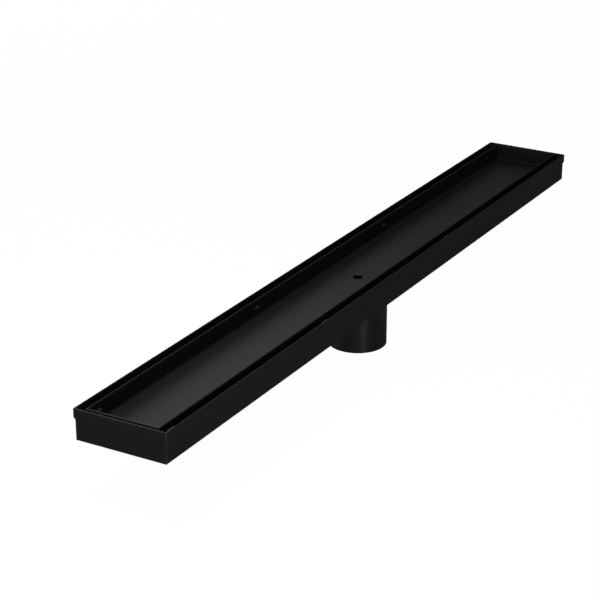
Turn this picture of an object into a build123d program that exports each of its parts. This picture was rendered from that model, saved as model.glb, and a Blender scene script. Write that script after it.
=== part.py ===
from build123d import *
import math
import os

# Linear shower drain with a tile tray, in millimetres.
# X runs along the channel, Y across it, Z up; the origin is the centre of the spigot's lower end.

# Channel: one folded and welded sheet trough
channel_length = 600.0
channel_width = 68.0
channel_height = 22.0  # rim to the underside of the floor
channel_sheet = 1.2
corner_radius = 1.0  # outside, at the upright corners
rim_round = 0.5  # outer edge of the rim
floor_bend = 0.4  # inside radius where the long walls turn into the floor

# Joggle: the step pressed into all four walls, which leaves a ledge inside
joggle_depth = 6.2  # rim to where the outer face turns in
joggle_inset = 0.8
joggle_angle = 35.0  # degrees, of the step from upright
joggle_upper_bend = 0.8  # inside radius of the upper bend
joggle_lower_bend = 1.2  # outside radius of the lower bend

# Outlet spigot: a tube welded under the middle of the floor
spigot_diameter = 43.0
spigot_wall = 1.2
spigot_length = 41.3
spigot_weld = 1.5  # leg of the weld at its upper end
spigot_chamfer = 0.3  # outer edge of its lower end

# Tile tray: a folded box that hangs in the channel, flush with the rim
tray_side_gap = 6.1
tray_end_gap = 2.2
tray_depth = 12.4  # inside
tray_sheet = 1.0
tray_bend = 1.6  # inside radius where the walls turn into the floor
tray_corner_radius = 1.0
lifting_hole = 7.5

# Support lugs: strips welded into slots in the tray's long walls, with their tips on the joggle
lug_width = 8.4
lug_sheet = 0.8
lug_tip_radius = 1.2
lug_rise = 13.0  # degrees, upwards to the tip
lug_side_gap = 0.25  # lug tip to the channel's upper band
lug_seat_gap = 0.02
lug_count = 4  # on each long side
lug_first = 12.8  # tray's left end to the middle of the first lug
lug_last = 19.3  # tray's right end to the middle of the last lug
slot_opening = 2.2  # open height of the slot above the lug's root

# Hair strainer: a perforated cup that drops into the outlet
strainer_sheet = 0.8
strainer_flange = 5.5  # flange beyond the edge of the outlet
strainer_clearance = 0.6  # cup to the bore, all round
strainer_depth = 16.0  # below the channel floor
strainer_mouth_bevel = 0.4  # under the flange
strainer_base_bevel = 1.6  # outside
strainer_slot_width = 4.0
strainer_slot_height = 8.0
strainer_slot_count = 12
strainer_hole = 5.0
strainer_hole_pitch = 9.0

past = 2.0  # how far cutting solids run past a face

# Heights
floor_underside = spigot_length
floor_top = floor_underside + channel_sheet
rim_height = floor_underside + channel_height
step_slope = 1 / math.tan(math.radians(joggle_angle))
step_drop = joggle_inset * step_slope
bend_factor = math.tan(math.radians(joggle_angle / 2))
outer_step_top = rim_height - joggle_depth
inner_step_top = outer_step_top + channel_sheet * bend_factor
tray_floor = rim_height - tray_depth
tray_underside = tray_floor - tray_sheet

# Plan sizes
inner_length = channel_length - 2 * channel_sheet
inner_width = channel_width - 2 * channel_sheet
outlet_radius = spigot_diameter / 2 - spigot_wall
tray_length = inner_length - 2 * tray_end_gap
tray_width = inner_width - 2 * tray_side_gap

# Lugs: the lower edge of each tip lies on the sloping step of the joggle
lug_seat = inner_step_top - lug_side_gap * step_slope + lug_seat_gap
lug_tip = inner_width / 2 - lug_side_gap
lug_root = tray_width / 2 - tray_sheet
rise_sine = math.sin(math.radians(lug_rise))
rise_cosine = math.cos(math.radians(lug_rise))
lug_length = (lug_tip - lug_root - lug_sheet * rise_sine) / rise_cosine
slot_bottom = lug_seat - lug_length * rise_sine
slot_height = lug_sheet + slot_opening
lug_pitch = (tray_length - lug_first - lug_last) / (lug_count - 1)
lug_places = [lug_first - tray_length / 2 + i * lug_pitch for i in range(lug_count)]


def edges_at(shape, height):
    return shape.edges().filter_by_position(Axis.Z, height - 0.001, height + 0.001)


def round_corners(section, height, radius):
    corners = [v for v in section.vertices() if abs(v.Y - height) < 1e-6]
    return fillet(corners, radius)


def folded_section(width, bottom, top, bend):
    section = Pos(0, (bottom + top) / 2) * Rectangle(width, top - bottom)
    return round_corners(section, bottom, bend)


def joggled_section(width, bottom, top, step_top, upper_bend, lower_bend):
    wide = width / 2
    narrow = wide - joggle_inset
    step_bottom = step_top - step_drop
    side = [(wide, top), (wide, step_top), (narrow, step_bottom), (narrow, bottom)]
    other = [(-x, y) for x, y in reversed(side)]
    section = make_face(Polyline(*side, *other, close=True))
    section = round_corners(section, step_top, upper_bend)
    return round_corners(section, step_bottom, lower_bend)


def mitred(across, along):
    """Solid with the first section across its width and the second along its length."""
    lengthwise = extrude(Plane.YZ * across, channel_length, both=True)
    crosswise = extrude(Plane.XZ * along, channel_length, both=True)
    return lengthwise & crosswise


def folded_box(length, width, bottom, top, bend):
    across = folded_section(width, bottom, top, bend)
    along = folded_section(length, bottom, top, bend)
    return mitred(across, along)


def make_channel():
    outer_step = (outer_step_top, joggle_upper_bend + channel_sheet, joggle_lower_bend)
    across = joggled_section(channel_width, floor_underside, rim_height, *outer_step)
    along = joggled_section(channel_length, floor_underside - past, rim_height + past, *outer_step)
    outside = mitred(across, along)
    uprights = outside.edges().filter_by(Axis.Z).group_by(Axis.Z)[-1]
    outside = fillet(uprights, corner_radius)
    outside = fillet(edges_at(outside, rim_height), rim_round)

    bend = floor_bend + channel_sheet
    lower_length = channel_length - 2 * joggle_inset
    lower_width = channel_width - 2 * joggle_inset
    slab = Pos(0, 0, floor_underside + bend / 2) * Box(channel_length, channel_width, bend)
    outside -= slab - folded_box(lower_length, lower_width, floor_underside, rim_height, bend)

    inner_step = (inner_step_top, joggle_upper_bend, joggle_lower_bend + channel_sheet)
    across = joggled_section(inner_width, floor_top, rim_height + past, *inner_step)
    across = round_corners(across, floor_top, floor_bend)
    along = joggled_section(inner_length, floor_top - past, rim_height + 2 * past, *inner_step)
    outlet = Pos(0, 0, floor_underside) * Cylinder(outlet_radius, 2 * past + channel_sheet)
    return outside - mitred(across, along) - outlet


def make_spigot():
    outer = spigot_diameter / 2
    section = Polyline(
        (outlet_radius, 0),
        (outer - spigot_chamfer, 0),
        (outer, spigot_chamfer),
        (outer, spigot_length - spigot_weld),
        (outer + spigot_weld, spigot_length),
        (outlet_radius, spigot_length),
        close=True,
    )
    return revolve(Plane.XZ * make_face(section), Axis.Z)


def make_tray():
    outside = folded_box(tray_length, tray_width, tray_underside, rim_height, tray_bend + tray_sheet)
    plan = RectangleRounded(tray_length, tray_width, tray_corner_radius)
    outside &= extrude(Pos(0, 0, tray_underside) * plan, tray_depth + tray_sheet)
    inside_length = tray_length - 2 * tray_sheet
    inside_width = tray_width - 2 * tray_sheet
    tray = outside - folded_box(inside_length, inside_width, tray_floor, rim_height + past, tray_bend)
    slot = Pos(0, 0, slot_bottom + slot_height / 2) * Box(lug_width, tray_width + past, slot_height)
    tray -= [Pos(x, 0, 0) * slot for x in lug_places]
    return tray - Pos(0, 0, tray_floor) * Cylinder(lifting_hole / 2, 2 * past + tray_sheet)


def make_lugs():
    strip = Pos(0, -lug_length / 2) * Rectangle(lug_width, lug_length)
    strip = fillet(strip.vertices().group_by(Axis.Y)[-1], lug_tip_radius)
    lug = Pos(0, lug_tip, lug_seat) * Rot(lug_rise, 0, 0) * extrude(strip, lug_sheet)
    turned = Rot(0, 0, 180) * lug
    return Compound([Pos(x, 0, 0) * side for x in lug_places for side in (lug, turned)])


def make_strainer():
    outer = outlet_radius - strainer_clearance
    inner = outer - strainer_sheet
    base = floor_top - strainer_depth
    top = floor_top + strainer_sheet
    flange = outlet_radius + strainer_flange
    thinner = strainer_sheet * (2 - math.sqrt(2))  # keeps the sheet even through a bevel
    mouth_bevel = strainer_mouth_bevel + thinner
    base_bevel = strainer_base_bevel - thinner
    base_top = base + strainer_sheet
    section = Polyline(
        (0, base),
        (outer - strainer_base_bevel, base),
        (outer, base + strainer_base_bevel),
        (outer, floor_top - strainer_mouth_bevel),
        (outer + strainer_mouth_bevel, floor_top),
        (flange, floor_top),
        (flange, top),
        (inner + mouth_bevel, top),
        (inner, top - mouth_bevel),
        (inner, base_top + base_bevel),
        (inner - base_bevel, base_top),
        (0, base_top),
        close=True,
    )
    cup = revolve(Plane.XZ * make_face(section), Axis.Z)
    hole = Pos(0, 0, base) * Cylinder(strainer_hole / 2, 2 * past + strainer_sheet)
    cup -= [hole] + [place * hole for place in PolarLocations(strainer_hole_pitch, 6)]
    slot = Box(4 * strainer_sheet, strainer_slot_width, strainer_slot_height)
    wall_middle = Pos(0, 0, (base + floor_top) / 2)
    cup -= [wall_middle * place * slot for place in PolarLocations(outer, strainer_slot_count)]
    return cup


nodes = {
    "channel_body": make_channel(),
    "outlet_spigot": make_spigot(),
    "tile_tray": make_tray(),
    "support_lugs": make_lugs(),
    "hair_strainer": make_strainer(),
}

os.makedirs("parts", exist_ok=True)
for name, shape in nodes.items():
    export_step(shape, f"parts/{name}.step")
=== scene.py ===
import bpy
import math
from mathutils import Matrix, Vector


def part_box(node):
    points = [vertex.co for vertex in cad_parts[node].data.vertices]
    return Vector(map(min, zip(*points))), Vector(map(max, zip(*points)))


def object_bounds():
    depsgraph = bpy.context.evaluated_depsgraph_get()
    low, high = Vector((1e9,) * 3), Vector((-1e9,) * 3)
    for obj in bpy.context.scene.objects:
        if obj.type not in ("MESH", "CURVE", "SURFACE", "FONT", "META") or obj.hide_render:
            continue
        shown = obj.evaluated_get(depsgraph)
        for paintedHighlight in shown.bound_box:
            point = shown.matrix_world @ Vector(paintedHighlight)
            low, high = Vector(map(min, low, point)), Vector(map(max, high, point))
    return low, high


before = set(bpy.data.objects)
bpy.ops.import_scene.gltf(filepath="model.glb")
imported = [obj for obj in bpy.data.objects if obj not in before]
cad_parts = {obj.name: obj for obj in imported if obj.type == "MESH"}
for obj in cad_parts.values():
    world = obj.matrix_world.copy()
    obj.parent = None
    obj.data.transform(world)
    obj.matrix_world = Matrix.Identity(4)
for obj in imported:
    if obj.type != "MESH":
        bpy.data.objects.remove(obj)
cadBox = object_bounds()
print("frame loaded:", ", ".join(sorted(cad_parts)))


def toLinear(hexColour):  # sRGB hex to the linear numbers that sockets take
    parts = [int(hexColour[i:i + 2], 16) / 255 for i in (1, 3, 5)]
    return [c / 12.92 if c <= 0.04045 else ((c + 0.055) / 1.055) ** 2.4 for c in parts] + [1.0]


def addNode(tree, kind, settings=None, links=None):  # settings by attribute or socket
    node = tree.nodes.new(kind)
    for key, value in (settings or {}).items():
        if isinstance(key, int) or key in node.inputs:
            node.inputs[key].default_value = value
        else:
            setattr(node, key, value)
    for key, source in (links or {}).items():
        tree.links.new(source, node.inputs[key])
    return node


def newMaterial(name):
    material = bpy.data.materials.new(name)
    material.use_nodes = True
    material.node_tree.nodes.clear()
    return material, material.node_tree


def metres(millimetres):
    return millimetres / 1000


def perMetre(millimetres):  # texture scale for a feature of that size
    return 1000 / millimetres


# matte black powder coat, sprayed and baked: deep black with a soft low sheen and a faint
# orange peel; the upright corners, which are welded and ground round, carry a painted
# highlight as pale lines, and the slit edges along the rims are rough, so they stay dim
sheetCoat = {
    "name": "blackPowderCoat",
    "colour": "#232323",
    "thinColour": "#272727",  # where the coat lies a little thinner
    "cloudSize": 60,  # mm, slow change of colour over a panel
    "cloudDetail": 3.0,
    # painted highlight along the upright corners: its colour and its strength
    "paintedHighlightColour": "#3a3a3a",
    "paintedHighlightStrength": 1.0,
    "peelSize": 2.2,  # mm, drawn coarser than the real 0.6 so that it shows
    "peelDetail": 2.0,
    "peelHeight": 0.008,  # mm
    "roughness": (0.40, 0.46),
    "slitRoughness": 0.85,  # on the long rims, which are the strip's own slit edges
    "slitDepth": 0.3,  # mm below the rim, where those edges begin
    "slitShort": 1.0,  # mm short of the tray's ends, where they stop
    "slitBlend": 0.2,  # mm
    "specular": 0.10,
    "grain": 0.0,
    "grainTurn": 0.25,  # of a full turn, which draws a highlight out along the tube
}
# the same coat on drawn tube, without the painted corner highlight: the rings of the tube
# show through it and draw a lamp out into an upright streak
tubeCoat = dict(sheetCoat, name="blackCoatOnTube", paintedHighlightStrength=0.0, specular=0.28, grain=0.60)


def makeBlackCoat(coat):
    material, tree = newMaterial(coat["name"])
    place = addNode(tree, "ShaderNodeTexCoord")
    cloud = addNode(tree, "ShaderNodeTexNoise",
                    {"Scale": perMetre(coat["cloudSize"]), "Detail": coat["cloudDetail"]},
                    {"Vector": place.outputs["Object"]})
    panel = addNode(tree, "ShaderNodeMix",
                    {"data_type": "RGBA", 6: toLinear(coat["colour"]),
                     7: toLinear(coat["thinColour"])},
                    {0: cloud.outputs["Fac"]})

    # painted highlight on the upright corners, placed by which way a face looks
    halfway = 0.25  # X times Y of the normal, squared, halfway between two walls
    facing = addNode(tree, "ShaderNodeSeparateXYZ", None, {0: place.outputs["Normal"]})
    turn = addNode(tree, "ShaderNodeMath", {"operation": "MULTIPLY"},
                   {0: facing.outputs["X"], 1: facing.outputs["Y"]})
    square = addNode(tree, "ShaderNodeMath", {"operation": "MULTIPLY"},
                     {0: turn.outputs[0], 1: turn.outputs[0]})
    paintedHighlight = addNode(tree, "ShaderNodeMapRange",
                     {"From Max": halfway, "To Max": coat["paintedHighlightStrength"]},
                     {"Value": square.outputs[0]})
    # the coat's colour with the painted corner highlight laid over it
    colour = addNode(tree, "ShaderNodeMix",
                     {"data_type": "RGBA", 7: toLinear(coat["paintedHighlightColour"])},
                     {0: paintedHighlight.outputs["Result"], 6: panel.outputs[2]})

    # orange peel, in the gloss and the height
    glossy, dull = coat["roughness"]
    peel = addNode(tree, "ShaderNodeTexNoise",
                   {"Scale": perMetre(coat["peelSize"]), "Detail": coat["peelDetail"]},
                   {"Vector": place.outputs["Object"]})
    sheen = addNode(tree, "ShaderNodeMapRange", {"To Min": glossy, "To Max": dull},
                    {"Value": peel.outputs["Fac"]})
    bump = addNode(tree, "ShaderNodeBump",
                   {"Strength": 1.0, "Distance": metres(coat["peelHeight"])},
                   {"Height": peel.outputs["Fac"]})

    # slit edges, at the height of the rim and between the tray's end walls
    slitStart = cadBox[1][2] - metres(coat["slitDepth"])
    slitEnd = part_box("tile_tray")[1][0] - metres(coat["slitShort"])
    blend = metres(coat["slitBlend"])
    spot = addNode(tree, "ShaderNodeSeparateXYZ", None, {0: place.outputs["Object"]})
    high = addNode(tree, "ShaderNodeMapRange",
                   {"From Min": slitStart, "From Max": slitStart + blend},
                   {"Value": spot.outputs["Z"]})
    along = addNode(tree, "ShaderNodeMath", {"operation": "ABSOLUTE"}, {0: spot.outputs["X"]})
    between = addNode(tree, "ShaderNodeMapRange",
                      {"From Min": slitEnd, "From Max": slitEnd - blend},
                      {"Value": along.outputs[0]})
    slit = addNode(tree, "ShaderNodeMath", {"operation": "MULTIPLY"},
                   {0: high.outputs["Result"], 1: between.outputs["Result"]})
    gloss = addNode(tree, "ShaderNodeMix", {"data_type": "FLOAT", 3: coat["slitRoughness"]},
                    {0: slit.outputs[0], 2: sheen.outputs["Result"]})

    surface = addNode(tree, "ShaderNodeBsdfPrincipled",
                      {"Specular IOR Level": coat["specular"], "Anisotropic": coat["grain"],
                       "Anisotropic Rotation": coat["grainTurn"]},
                      {"Base Color": colour.outputs[2], "Roughness": gloss.outputs[0],
                       "Normal": bump.outputs["Normal"]})
    if coat["grain"]:
        rings = addNode(tree, "ShaderNodeTangent", {"direction_type": "RADIAL", "axis": "Z"})
        tree.links.new(rings.outputs["Tangent"], surface.inputs["Tangent"])
    addNode(tree, "ShaderNodeOutputMaterial", None, {"Surface": surface.outputs["BSDF"]})
    return material


# pressed stainless sheet, cold rolled: grey metal with fine rolling lines along the sheet
strainerSteel = {
    "colour": "#b9b8b5",
    "lineWidth": 0.4,  # mm, drawn coarser than real rolling lines so that it shows
    "lineLength": 12,  # mm
    "lineDetail": 2.0,
    "roughness": (0.26, 0.40),
}


def makeStrainerSteel():
    material, tree = newMaterial("rolledStainless")
    length = perMetre(strainerSteel["lineLength"])
    width = perMetre(strainerSteel["lineWidth"])
    glossy, dull = strainerSteel["roughness"]
    place = addNode(tree, "ShaderNodeTexCoord")
    stretch = addNode(tree, "ShaderNodeMapping", {"Scale": (length, width, width)},
                      {"Vector": place.outputs["Object"]})
    lines = addNode(tree, "ShaderNodeTexNoise",
                    {"Scale": 1.0, "Detail": strainerSteel["lineDetail"]},
                    {"Vector": stretch.outputs["Vector"]})
    sheen = addNode(tree, "ShaderNodeMapRange", {"To Min": glossy, "To Max": dull},
                    {"Value": lines.outputs["Fac"]})
    surface = addNode(tree, "ShaderNodeBsdfPrincipled",
                      {"Base Color": toLinear(strainerSteel["colour"]), "Metallic": 1.0},
                      {"Roughness": sheen.outputs["Result"]})
    addNode(tree, "ShaderNodeOutputMaterial", None, {"Surface": surface.outputs["BSDF"]})
    return material


coatMaterial = makeBlackCoat(sheetCoat)
finishes = {
    "channel_body": coatMaterial,
    "outlet_spigot": makeBlackCoat(tubeCoat),
    "tile_tray": coatMaterial,
    "support_lugs": coatMaterial,
    "hair_strainer": makeStrainerSteel(),
}
for nodeName, material in finishes.items():
    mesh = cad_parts[nodeName].data
    mesh.materials.clear()
    mesh.materials.append(material)
print("finishes set on", len(finishes), "nodes")

plainWhite = toLinear("#ffffff")

# plain pale floor, white to the eye, and pale grey in reflections and in its bounce light
studioFloor = {
    "size": 12.0,
    "drop": 0.0002,  # keeps it just clear of the part
    "colour": "#8c8c8c",
    "seenWhite": 0.85,  # share of plain white that the eye sees, the rest keeps the shadow
    "glossyWhite": 0.03,
    "strength": 1.15,
}


def makeFloor():
    bpy.ops.mesh.primitive_plane_add(size=studioFloor["size"],
                                     location=(0, 0, -studioFloor["drop"]))
    floor = bpy.context.object
    floor.name = "studioFloor"
    material, tree = newMaterial("paleFloor")
    path = addNode(tree, "ShaderNodeLightPath")
    eye = addNode(tree, "ShaderNodeMath",
                  {"operation": "MULTIPLY", 1: studioFloor["seenWhite"]},
                  {0: path.outputs["Is Camera Ray"]})
    glass = addNode(tree, "ShaderNodeMath",
                    {"operation": "MULTIPLY_ADD", 1: studioFloor["seenWhite"]},
                    {0: path.outputs["Is Transmission Ray"], 2: eye.outputs[0]})
    share = addNode(tree, "ShaderNodeMath",
                    {"operation": "MULTIPLY_ADD", 1: studioFloor["glossyWhite"]},
                    {0: path.outputs["Is Glossy Ray"], 2: glass.outputs[0]})
    paint = addNode(tree, "ShaderNodeBsdfDiffuse", {"Color": toLinear(studioFloor["colour"])})
    glow = addNode(tree, "ShaderNodeEmission",
                   {"Color": plainWhite, "Strength": studioFloor["strength"]})
    both = addNode(tree, "ShaderNodeMixShader", None,
                   {0: share.outputs[0], 1: paint.outputs[0], 2: glow.outputs[0]})
    addNode(tree, "ShaderNodeOutputMaterial", None, {"Surface": both.outputs[0]})
    floor.data.materials.append(material)


makeFloor()

# soft room: white to the eye, dim in its light and reflections
studioWorld = {"ambient": 0.12, "white": 1.0, "glossyWhite": 0.02}


def makeWorld():
    world = bpy.data.worlds.new("studioWorld")
    world.use_nodes = True
    tree = world.node_tree
    tree.nodes.clear()
    path = addNode(tree, "ShaderNodeLightPath")
    seen = addNode(tree, "ShaderNodeMath", {"operation": "ADD"},
                   {0: path.outputs["Is Camera Ray"], 1: path.outputs["Is Transmission Ray"]})
    share = addNode(tree, "ShaderNodeMath",
                    {"operation": "MULTIPLY_ADD", 1: studioWorld["glossyWhite"]},
                    {0: path.outputs["Is Glossy Ray"], 2: seen.outputs[0]})
    strength = addNode(tree, "ShaderNodeMix",
                       {"data_type": "FLOAT", 2: studioWorld["ambient"],
                        3: studioWorld["white"]},
                       {0: share.outputs[0]})
    sky = addNode(tree, "ShaderNodeBackground", {"Color": plainWhite},
                  {"Strength": strength.outputs[0]})
    addNode(tree, "ShaderNodeOutputWorld", None, {"Surface": sky.outputs[0]})
    bpy.context.scene.world = world


makeWorld()

# a broad soft box behind the far end, one at the left rear, small ones over the near end and
# in front of it, and a low one at the right that draws the streak on the spigot
softBoxes = {
    "backBox": {"place": (0.90, 1.15, 1.00), "aim": (-0.10, 0.0, 0.05),
                "size": (1.2, 1.4), "watts": 6.2},
    "topBox": {"place": (-0.36, 0.02, 0.55), "aim": (-0.30, 0.0, 0.05),
               "size": (0.20, 0.20), "watts": 1.5},
    "leftBox": {"place": (-1.00, 1.40, 0.30), "aim": (-0.10, 0.0, 0.05),
                "size": (0.9, 0.5), "watts": 4.0},
    "frontBox": {"place": (-1.70, -0.50, 0.25), "aim": (0.0, 0.0, 0.05),
                 "size": (0.5, 0.4), "watts": 1.6},
    "lowBox": {"place": (-0.97, -1.22, 0.06), "aim": (0.0, 0.0, 0.04),
               "size": (0.34, 0.11), "watts": 4.2},
}


def addSoftBox(name, settings):
    lamp = bpy.data.lights.new(name, "AREA")
    lamp.shape = "RECTANGLE"
    lamp.size, lamp.size_y = settings["size"]
    lamp.energy = settings["watts"]
    box = bpy.data.objects.new(name, lamp)
    bpy.context.scene.collection.objects.link(box)
    box.location = settings["place"]
    aim = [a - p for a, p in zip(settings["aim"], settings["place"])]
    tilt = math.atan2(math.hypot(aim[0], aim[1]), -aim[2])
    box.rotation_euler = (tilt, 0, math.atan2(aim[1], aim[0]) - math.pi / 2)


for boxName, boxSettings in softBoxes.items():
    addSoftBox(boxName, boxSettings)
print("floor and lights ready")

# worked out from the straight edges of the picture
photoCamera = {
    "place": (-1.14449, -0.61199, 0.57408),
    "turn": (67.354, 0.0, -60.018),  # degrees
    "lens": 116.21,
    "sensor": 36.0,
    "clip": (0.01, 50),
}
cameraData = bpy.data.cameras.new("photoCamera")
cameraData.lens = photoCamera["lens"]
cameraData.sensor_width = photoCamera["sensor"]
cameraData.clip_start, cameraData.clip_end = photoCamera["clip"]
camera = bpy.data.objects.new("photoCamera", cameraData)
camera.location = photoCamera["place"]
camera.rotation_euler = [math.radians(a) for a in photoCamera["turn"]]
bpy.context.scene.collection.objects.link(camera)
bpy.context.scene.camera = camera
bpy.context.scene.view_settings.view_transform = "Standard"
print("camera set")
